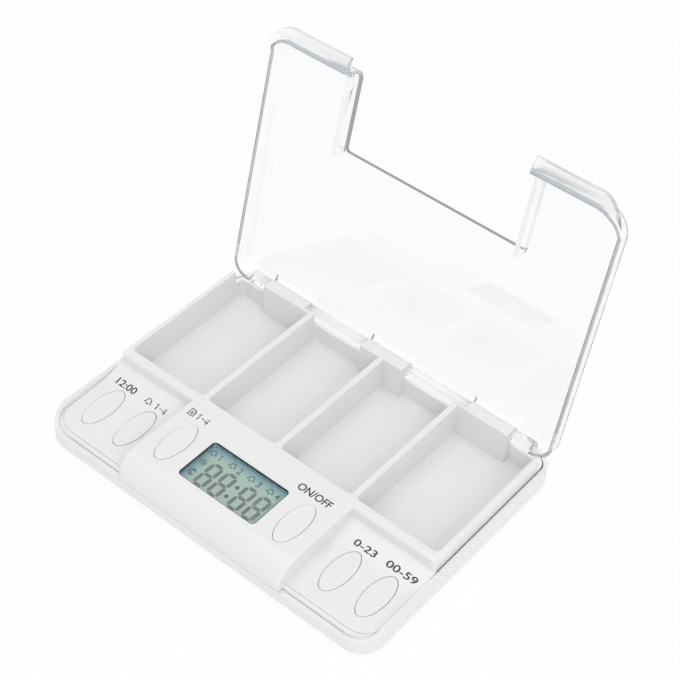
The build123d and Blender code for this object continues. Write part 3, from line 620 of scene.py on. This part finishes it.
bell_row_y = -19.83
bell_places = (-10.37, -4.13, 1.97, 7.98)
number_low_y = -21.05
number_high_y = -18.95
number_half_width = 0.55
sun_x, sun_y = -10.31, -23.77
moon_y = -27.76
marks = []
for x in bell_places:
    marks += bell_lines(x, bell_row_y, 2.2, 1.9, cell_level)
figure_one = ((-8.4, -19.4), (-7.95, -19.02), (-7.95, -20.98))
marks.append((False, [(a, b, cell_level(b)) for a, b in figure_one]))
marks.append((True, round_points(sun_x, sun_y, 0.5, 14)))
for i in range(8):
    spoke = i * math.pi / 4
    ends = [(r * math.cos(spoke) + sun_x, r * math.sin(spoke) + sun_y) for r in (0.78, 1.12)]
    marks.append((False, [(a, b, cell_level(b)) for a, b in ends]))
outer_arc = round_points(-10.25, moon_y, 0.95, 14, 0.6, 4.6)
inner_arc = round_points(-9.85, moon_y, 0.72, 10, 5.0, -4.1)
marks.append((True, outer_arc + inner_arc))
fine_film = printed("liquid_crystal_fine_marks", "#22393B")
sizes = {"Stroke Width": 0.3 * mm, "Stroke Thickness": 0.03 * mm, "Material": fine_film}
grow("display_bells", lines_mesh("bells", marks), stroke_tree, sizes, "case")
numbers = []
for number, x in ((2, -1.61), (3, 4.52), (4, 10.35)):
    box = (x - number_half_width, x + number_half_width, number_low_y, number_high_y)
    numbers.append(figures_mesh(str(number), 0.008, box, cell_level, 0.01))
joined("display_numbers", numbers, fine_film, "case")
dots = []
for x, y in ((1.29, -24.24), (1.11, -27.95)):
    disc = bmesh.new()
    bmesh.ops.create_cone(
        disc, cap_ends=True, segments=24, radius1=0.56 * mm, radius2=0.53 * mm, depth=0.03 * mm,
    )
    bmesh.ops.translate(disc, verts=disc.verts, vec=(x * mm, y * mm, cell_level(y) * mm))
    dot_mesh = bpy.data.meshes.new("dot")
    disc.to_mesh(dot_mesh)
    disc.free()
    dots.append(dot_mesh)
joined("display_colon", dots, printed("liquid_crystal_colon", "#1E2B2A"), "case")

# Electronics ---------------------------------------------------------------------------------------
# Two fibreglass boards with green solder mask beside the main one, joined to it by film ribbons. A
# resin blob covers the controller, a small can holds the clock crystal, and silicone pads lie under
# the buttons. Conductive rubber strips carry the display's signals.


def solder_mask(name):
    """Green solder mask over etched copper tracks: glossy, and lighter where copper lies under it. The
    real tracks are 0.3 mm wide and are drawn at 0.6 mm."""
    material, tree, place = new_material(name)
    tracks = add(tree, "ShaderNodeTexBrick", {
        "Vector": place, "Scale": 1.0, "Mortar Size": 0.3 * mm, "Brick Width": 5.2 * mm,
        "Row Height": 1.6 * mm, "Color1": linear("#1F5F3B"), "Color2": linear("#23683F"),
        "Mortar": linear("#3B8A55"),
    })
    bump = add(tree, "ShaderNodeBump", {
        "Height": tracks.outputs["Fac"], "Strength": 0.3, "Distance": 0.03 * mm,
    })
    mask = add(tree, "ShaderNodeBsdfPrincipled", {
        "Base Color": tracks.outputs["Color"], "Roughness": 0.28, "Normal": bump.outputs["Normal"],
    })
    add(tree, "ShaderNodeOutputMaterial", {"Surface": mask.outputs["BSDF"]})
    return material


board_mask = solder_mask("green_solder_mask")
for node in ("main_board", "key_board_left", "key_board_right"):
    dress(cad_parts[node], board_mask)
dress(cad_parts["controller_blob"], black_moulding("black_epoxy_resin", "#17181A", 0.22, 1.5 * mm))


def silicone(name, colour, stripes=0.0):
    """Moulded silicone rubber: matt and slightly mottled, with fine conductive layers across it where
    stripes gives their pitch. The real layers are 0.1 mm apart and are drawn at 0.5 mm."""
    material, tree, place = new_material(name)
    if stripes:
        wave_period = 0.314
        pattern = add(tree, "ShaderNodeTexWave", {
            "Vector": place, "Scale": wave_period / stripes,
        }, bands_direction="X")
    else:
        pattern = add(tree, "ShaderNodeTexNoise", {"Vector": place, "Scale": 1 / (0.8 * mm)})
    darker = [v * (0.2 if stripes else 0.8) for v in linear(colour)[:3]] + [1.0]
    tone = add(tree, "ShaderNodeMix", {
        "Factor": pattern.outputs["Fac"], "A": linear(colour), "B": darker,
    }, data_type="RGBA")
    rubber = add(tree, "ShaderNodeBsdfPrincipled", {"Base Color": tone.outputs["Result"], "Roughness": 0.7})
    add(tree, "ShaderNodeOutputMaterial", {"Surface": rubber.outputs["BSDF"]})
    return material


pad_rubber = silicone("grey_silicone", "#9A9DA0")
for node in ("key_pad_left", "key_pad_right", "key_pad_memo", "key_pad_on_off"):
    dress(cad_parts[node], pad_rubber)
strip_rubber = silicone("layered_conductive_silicone", "#C9A9A4", stripes=0.5 * mm)
for node in ("zebra_strip_front", "zebra_strip_back"):
    dress(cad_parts[node], strip_rubber)


def ribbon_film(name):
    """Amber polyimide film with six copper tracks that run along it, 1 mm apart as real ones are."""
    material, tree, place = new_material(name)
    across = add(tree, "ShaderNodeSeparateXYZ", {"Vector": place}).outputs["Y"]
    count = add(tree, "ShaderNodeMath", {0: across, 1: 1.0 * mm}, operation="DIVIDE")
    step = add(tree, "ShaderNodeMath", {0: count.outputs[0]}, operation="FRACT")
    track = add(tree, "ShaderNodeMath", {0: step.outputs[0], 1: 0.55}, operation="GREATER_THAN")
    tone = add(tree, "ShaderNodeMix", {
        "Factor": track.outputs[0], "A": linear("#B8792B"), "B": linear("#8F4F1E"),
    }, data_type="RGBA")
    film = add(tree, "ShaderNodeBsdfPrincipled", {"Base Color": tone.outputs["Result"], "Roughness": 0.25})
    add(tree, "ShaderNodeOutputMaterial", {"Surface": film.outputs["BSDF"]})
    return material


amber_film = ribbon_film("amber_polyimide_film")
for node in ("ribbon_left", "ribbon_right"):
    dress(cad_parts[node], amber_film)

# Power and sounder ---------------------------------------------------------------------------------
# Two steel button cells, spring contacts of nickel-plated steel above them and a link below, and a
# brass sounder disc with its white ceramic on top.


def plated_steel(name, colour, roughness, grain_size):
    """Plated steel: bright metal with fine marks from rolling or pressing, of the given size."""
    material, tree, place = new_material(name)
    stretched = add(tree, "ShaderNodeMapping", {"Vector": place, "Scale": (1.0, 0.15, 1.0)})
    grain = add(tree, "ShaderNodeTexNoise", {
        "Vector": stretched.outputs[0], "Scale": 1 / grain_size, "Detail": 4.0,
    })
    rough = add(tree, "ShaderNodeMapRange", {
        "Value": grain.outputs["Fac"], "To Min": roughness - 0.07, "To Max": roughness + 0.1,
    })
    darker = [v * 0.85 for v in linear(colour)[:3]] + [1.0]
    tone = add(tree, "ShaderNodeMix", {
        "Factor": grain.outputs["Fac"], "A": linear(colour), "B": darker,
    }, data_type="RGBA")
    metal = add(tree, "ShaderNodeBsdfPrincipled", {
        "Base Color": tone.outputs["Result"], "Metallic": 1.0, "Roughness": rough.outputs[0],
    })
    add(tree, "ShaderNodeOutputMaterial", {"Surface": metal.outputs["BSDF"]})
    return material


nickel = plated_steel("nickel_plated_steel", "#CFCBC2", 0.26, 0.6 * mm)
for node in (
    "battery_cell_left", "battery_cell_right", "contact_left", "contact_right", "contact_link",
    "clock_crystal",
):
    dress(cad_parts[node], nickel)


def sounder_face(name):
    """A brass disc with a white fired ceramic on its middle, 8.2 mm across, and the ceramic's thin
    silver coat in its centre."""
    material, tree, place = new_material(name)
    middle = [(a + b) / 2 for a, b in zip(*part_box("buzzer"))]
    centred = add(tree, "ShaderNodeMapping", {"Vector": place, "Location": [-c for c in middle]})
    flat = add(tree, "ShaderNodeVectorMath", {0: centred.outputs[0], 1: (1, 1, 0)}, operation="MULTIPLY")
    radius = add(tree, "ShaderNodeVectorMath", {0: flat.outputs[0]}, operation="LENGTH").outputs["Value"]
    on_ceramic = add(tree, "ShaderNodeMath", {0: radius, 1: 4.1 * mm}, operation="LESS_THAN")
    on_silver = add(tree, "ShaderNodeMath", {0: radius, 1: 3.4 * mm}, operation="LESS_THAN")
    cloud = add(tree, "ShaderNodeTexNoise", {"Vector": place, "Scale": 1 / (0.7 * mm)})
    brass = add(tree, "ShaderNodeMix", {
        "Factor": cloud.outputs["Fac"], "A": linear("#D9B45F"), "B": linear("#C79F4B"),
    }, data_type="RGBA")
    pale = add(tree, "ShaderNodeMix", {
        "Factor": on_silver.outputs[0], "A": linear("#ECE9E0"), "B": linear("#CFD0D0"),
    }, data_type="RGBA")
    tone = add(tree, "ShaderNodeMix", {
        "Factor": on_ceramic.outputs[0], "A": brass.outputs["Result"], "B": pale.outputs["Result"],
    }, data_type="RGBA")
    metal_share = add(tree, "ShaderNodeMath", {0: 1.0, 1: on_ceramic.outputs[0]}, operation="SUBTRACT")
    face = add(tree, "ShaderNodeBsdfPrincipled", {
        "Base Color": tone.outputs["Result"], "Metallic": metal_share.outputs[0], "Roughness": 0.33,
    })
    add(tree, "ShaderNodeOutputMaterial", {"Surface": face.outputs["BSDF"]})
    return material


dress(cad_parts["buzzer"], sounder_face("brass_and_ceramic"))

# Screws --------------------------------------------------------------------------------------------
# Four self-tapping screws close the case from below and two hold the main board. They are zinc-plated
# steel with domed heads, cross recesses and a turned thread.

screw_tree, given = new_tree("cross_recess_screws", (
    "Head Radius", "Head Height", "Shank Radius", "Shank Length", "Thread Pitch", "Recess Width",
    "Recess Depth",
))
place = add(screw_tree, "ShaderNodeSeparateXYZ", {0: add(screw_tree, "GeometryNodeInputPosition").outputs[0]})


def drawn_in(factor, height):
    """The place of each point, drawn in to the screw's axis by a factor, and at a new height."""
    moved = {"Z": height}
    for axis in "XY":
        drawn = add(screw_tree, "ShaderNodeMath", {0: place.outputs[axis], 1: factor}, operation="MULTIPLY")
        moved[axis] = drawn.outputs[0]
    return add(screw_tree, "ShaderNodeCombineXYZ", moved).outputs[0]


head = add(screw_tree, "GeometryNodeMeshCylinder", {
    "Vertices": 40, "Side Segments": 5, "Radius": given["Head Radius"], "Depth": given["Head Height"],
})
rise = add(screw_tree, "ShaderNodeMath", {
    0: place.outputs["Z"], 1: given["Head Height"],
}, operation="DIVIDE")
down = add(screw_tree, "ShaderNodeMath", {0: 0.5, 1: rise.outputs[0]}, operation="SUBTRACT")
curve = add(screw_tree, "ShaderNodeMath", {0: down.outputs[0], 1: 3.0}, operation="POWER")
narrow = add(screw_tree, "ShaderNodeMath", {
    0: curve.outputs[0], 1: -0.22, 2: 1.0,
}, operation="MULTIPLY_ADD")
seat = add(screw_tree, "ShaderNodeMath", {
    0: given["Head Height"], 1: -0.5, 2: place.outputs["Z"],
}, operation="MULTIPLY_ADD")
domed = add(screw_tree, "GeometryNodeSetPosition", {
    "Geometry": head.outputs["Mesh"], "Position": drawn_in(narrow.outputs[0], seat.outputs[0]),
})
arm_length = add(screw_tree, "ShaderNodeMath", {0: given["Shank Radius"], 1: 2.0}, operation="MULTIPLY")
arm_height = add(screw_tree, "ShaderNodeMath", {0: given["Recess Depth"], 1: 2.0}, operation="MULTIPLY")
recess_z = add(screw_tree, "ShaderNodeMath", {0: given["Head Height"], 1: -1.0}, operation="MULTIPLY")
recess_place = add(screw_tree, "ShaderNodeCombineXYZ", {"Z": recess_z.outputs[0]})
arms = []
for long_side, short_side in ("XY", "YX"):
    size = add(screw_tree, "ShaderNodeCombineXYZ", {
        long_side: arm_length.outputs[0], short_side: given["Recess Width"], "Z": arm_height.outputs[0],
    })
    cutter = add(screw_tree, "GeometryNodeMeshCube", {"Size": size.outputs[0]})
    arms.append(add(screw_tree, "GeometryNodeTransform", {
        "Geometry": cutter.outputs["Mesh"], "Translation": recess_place.outputs[0],
    }))
recess = add(screw_tree, "GeometryNodeMeshBoolean", {
    "Mesh 2": arms[0].outputs[0],
}, operation="UNION", solver="EXACT")
screw_tree.links.new(arms[1].outputs[0], recess.inputs["Mesh 2"])
driven = add(screw_tree, "GeometryNodeMeshBoolean", {
    "Mesh 1": domed.outputs[0], "Mesh 2": recess.outputs[0],
}, operation="DIFFERENCE", solver="EXACT")
shank = add(screw_tree, "GeometryNodeMeshCylinder", {
    "Vertices": 20, "Side Segments": 26, "Radius": given["Shank Radius"], "Depth": given["Shank Length"],
})
along = add(screw_tree, "ShaderNodeMath", {
    0: place.outputs["Z"], 1: given["Thread Pitch"],
}, operation="DIVIDE")
phase = add(screw_tree, "ShaderNodeMath", {0: along.outputs[0], 1: 2 * math.pi}, operation="MULTIPLY")
wave = add(screw_tree, "ShaderNodeMath", {0: phase.outputs[0]}, operation="COSINE")
ridge = add(screw_tree, "ShaderNodeMath", {0: wave.outputs[0], 1: 0.08, 2: 0.9}, operation="MULTIPLY_ADD")
lifted = add(screw_tree, "ShaderNodeMath", {
    0: given["Shank Length"], 1: 0.5, 2: place.outputs["Z"],
}, operation="MULTIPLY_ADD")
turned = add(screw_tree, "GeometryNodeSetPosition", {
    "Geometry": shank.outputs["Mesh"], "Position": drawn_in(ridge.outputs[0], lifted.outputs[0]),
})
whole = add(screw_tree, "GeometryNodeJoinGeometry", {0: turned.outputs[0]})
screw_tree.links.new(driven.outputs[0], whole.inputs[0])
spread = add(screw_tree, "GeometryNodeInstanceOnPoints", {
    "Points": given["Geometry"], "Instance": whole.outputs[0],
})
close_tree(screw_tree, spread.outputs[0], given)

zinc = plated_steel("zinc_plated_steel", "#C3C7CB", 0.34, 0.4 * mm)
head_height = 0.6 * mm
for kind, count in (("case_screw", 4), ("board_screw", 2)):
    names = [f"{kind}_{number}" for number in range(1, count + 1)]
    seats = bpy.data.meshes.new(f"{kind}_seats")
    corners = [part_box(name) for name in names]
    places = [((a[0] + b[0]) / 2, (a[1] + b[1]) / 2, a[2] + head_height) for a, b in corners]
    seats.from_pydata(places, [], [])
    length = corners[0][1][2] - corners[0][0][2] - head_height
    screws = grow(f"{kind}s", seats, screw_tree, {
        "Head Radius": 1.5 * mm, "Head Height": head_height, "Shank Radius": 0.8 * mm, "Shank Length": length,
        "Thread Pitch": 0.5 * mm, "Recess Width": 0.4 * mm, "Recess Depth": 0.35 * mm, "Material": zinc,
    }, "case")
    smooth(screws, math.radians(40))
    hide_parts(*names)

# Lid -----------------------------------------------------------------------------------------------
# The clear cover: injection-moulded polystyrene, polished, 1.2 mm thick. Light that runs along inside
# the sheet leaves it at the edges, which look grey-blue while the sheet itself looks clear. That light is
# drawn as a painted glow that the plastic gives off inside, with absorption that darkens long paths.

grip_bottom = 82.2 * mm
cover = from_cad("lid", "cover", "lid")
dress(cover, clear_plastic("clear_polystyrene", "#C2C6C9", 110.0, 1.59, painted_glow=0.48, matt_above=grip_bottom))
cover.visible_shadow = False

# Floor, lights and camera --------------------------------------------------------------------------
# A white table top and a white room, with two large soft lamps above and in front. The floor and the
# world show as white to the camera and in reflections, and the floor keeps the object's shadow.


def seen_white(tree):
    """The ray's own values, and one for each ray whose surroundings are seen: the camera's, those that
    come by a reflection, and those through clear plastic."""
    ray = add(tree, "ShaderNodeLightPath").outputs
    direct = add(tree, "ShaderNodeMath", {
        0: ray["Is Camera Ray"], 1: ray["Is Glossy Ray"],
    }, operation="MAXIMUM")
    seen = add(tree, "ShaderNodeMath", {
        0: direct.outputs[0], 1: ray["Is Transmission Ray"],
    }, operation="MAXIMUM")
    return ray, seen.outputs[0]


def white_sweep():
    """White paper: where it is seen it is mostly its own white, with some shadow. From below, or from
    closer than 0.2 mm, it lets the light through, so that the case's underside can be looked at."""
    material = bpy.data.materials.new("white_paper_sweep")
    material.use_nodes = True
    tree = material.node_tree
    tree.nodes.clear()
    ray, seen = seen_white(tree)
    share = add(tree, "ShaderNodeMath", {0: seen, 1: 0.9}, operation="MULTIPLY")
    paper = add(tree, "ShaderNodeBsdfDiffuse", {"Color": linear("#F7F7F7")})
    glow = add(tree, "ShaderNodeEmission", {"Color": linear("#FFFFFF"), "Strength": 1.0})
    both = add(tree, "ShaderNodeMixShader", {0: share.outputs[0], 1: paper.outputs[0], 2: glow.outputs[0]})
    close = add(tree, "ShaderNodeMath", {0: ray["Ray Length"], 1: 0.2 * mm}, operation="LESS_THAN")
    below = add(tree, "ShaderNodeNewGeometry").outputs["Backfacing"]
    away = add(tree, "ShaderNodeMath", {0: close.outputs[0], 1: below}, operation="MAXIMUM")
    nothing = add(tree, "ShaderNodeBsdfTransparent")
    sheet = add(tree, "ShaderNodeMixShader", {0: away.outputs[0], 1: both.outputs[0], 2: nothing.outputs[0]})
    add(tree, "ShaderNodeOutputMaterial", {"Surface": sheet.outputs[0]})
    return material


floor_mesh = bpy.data.meshes.new("table_top")
sheet = bmesh.new()
bmesh.ops.create_circle(sheet, cap_ends=True, segments=96, radius=3.0)
for face in sheet.faces:
    if face.normal.z < 0:
        face.normal_flip()
bmesh.ops.translate(sheet, vec=(0, 0, -0.02 * mm), verts=sheet.verts)
sheet.to_mesh(floor_mesh)
sheet.free()
table_top = bpy.data.objects.new("table_top", floor_mesh)
bpy.context.scene.collection.objects.link(table_top)
dress(table_top, white_sweep())

room = bpy.data.worlds.new("white_room")
bpy.context.scene.world = room
room.use_nodes = True
tree = room.node_tree
tree.nodes.clear()
seen = seen_white(tree)[1]
height = add(tree, "ShaderNodeSeparateXYZ", {"Vector": add(tree, "ShaderNodeTexCoord").outputs["Generated"]})
shade = add(tree, "ShaderNodeMapRange", {"Value": height.outputs["Z"], "To Min": 1.0, "To Max": 0.5})
strength = add(tree, "ShaderNodeMix", {0: seen, 2: shade.outputs["Result"], 3: 1.0})
light = add(tree, "ShaderNodeBackground", {"Color": linear("#FFFFFF"), "Strength": strength.outputs[0]})
add(tree, "ShaderNodeOutputWorld", {"Surface": light.outputs[0]})

for name, power, side, place in (
    ("overhead_box", 2.2, 0.6, (-0.10, 0.05, 1.0)),
    ("front_box", 2.0, 0.5, (0.56, -0.44, 0.68)),
):
    lamp = bpy.data.lights.new(name, "AREA")
    lamp.size = side
    lamp.energy = power
    box = bpy.data.objects.new(name, lamp)
    bpy.context.scene.collection.objects.link(box)
    box.location = place
    box.rotation_euler = Vector(place).to_track_quat("Z", "Y").to_euler()

# The camera stands above, in front and to the right, rolled a little, and looks down at 45 degrees.
camera_data = bpy.data.cameras.new("camera")
camera_data.sensor_width = 36
camera_data.lens = 90.56
camera_data.clip_start = 0.01
camera_data.clip_end = 20
camera = bpy.data.objects.new("camera", camera_data)
bpy.context.scene.collection.objects.link(camera)
right = Vector((0.769484, 0.636728, 0.049723))
up = Vector((-0.476108, 0.519995, 0.709173))
back = Vector((0.425694, -0.569370, 0.703279))
turn = Matrix((right, up, back)).transposed().to_4x4()
camera.matrix_world = Matrix.Translation((0.178324, -0.224085, 0.327127)) @ turn
bpy.context.scene.camera = camera

bpy.context.scene.view_settings.view_transform = "Standard"
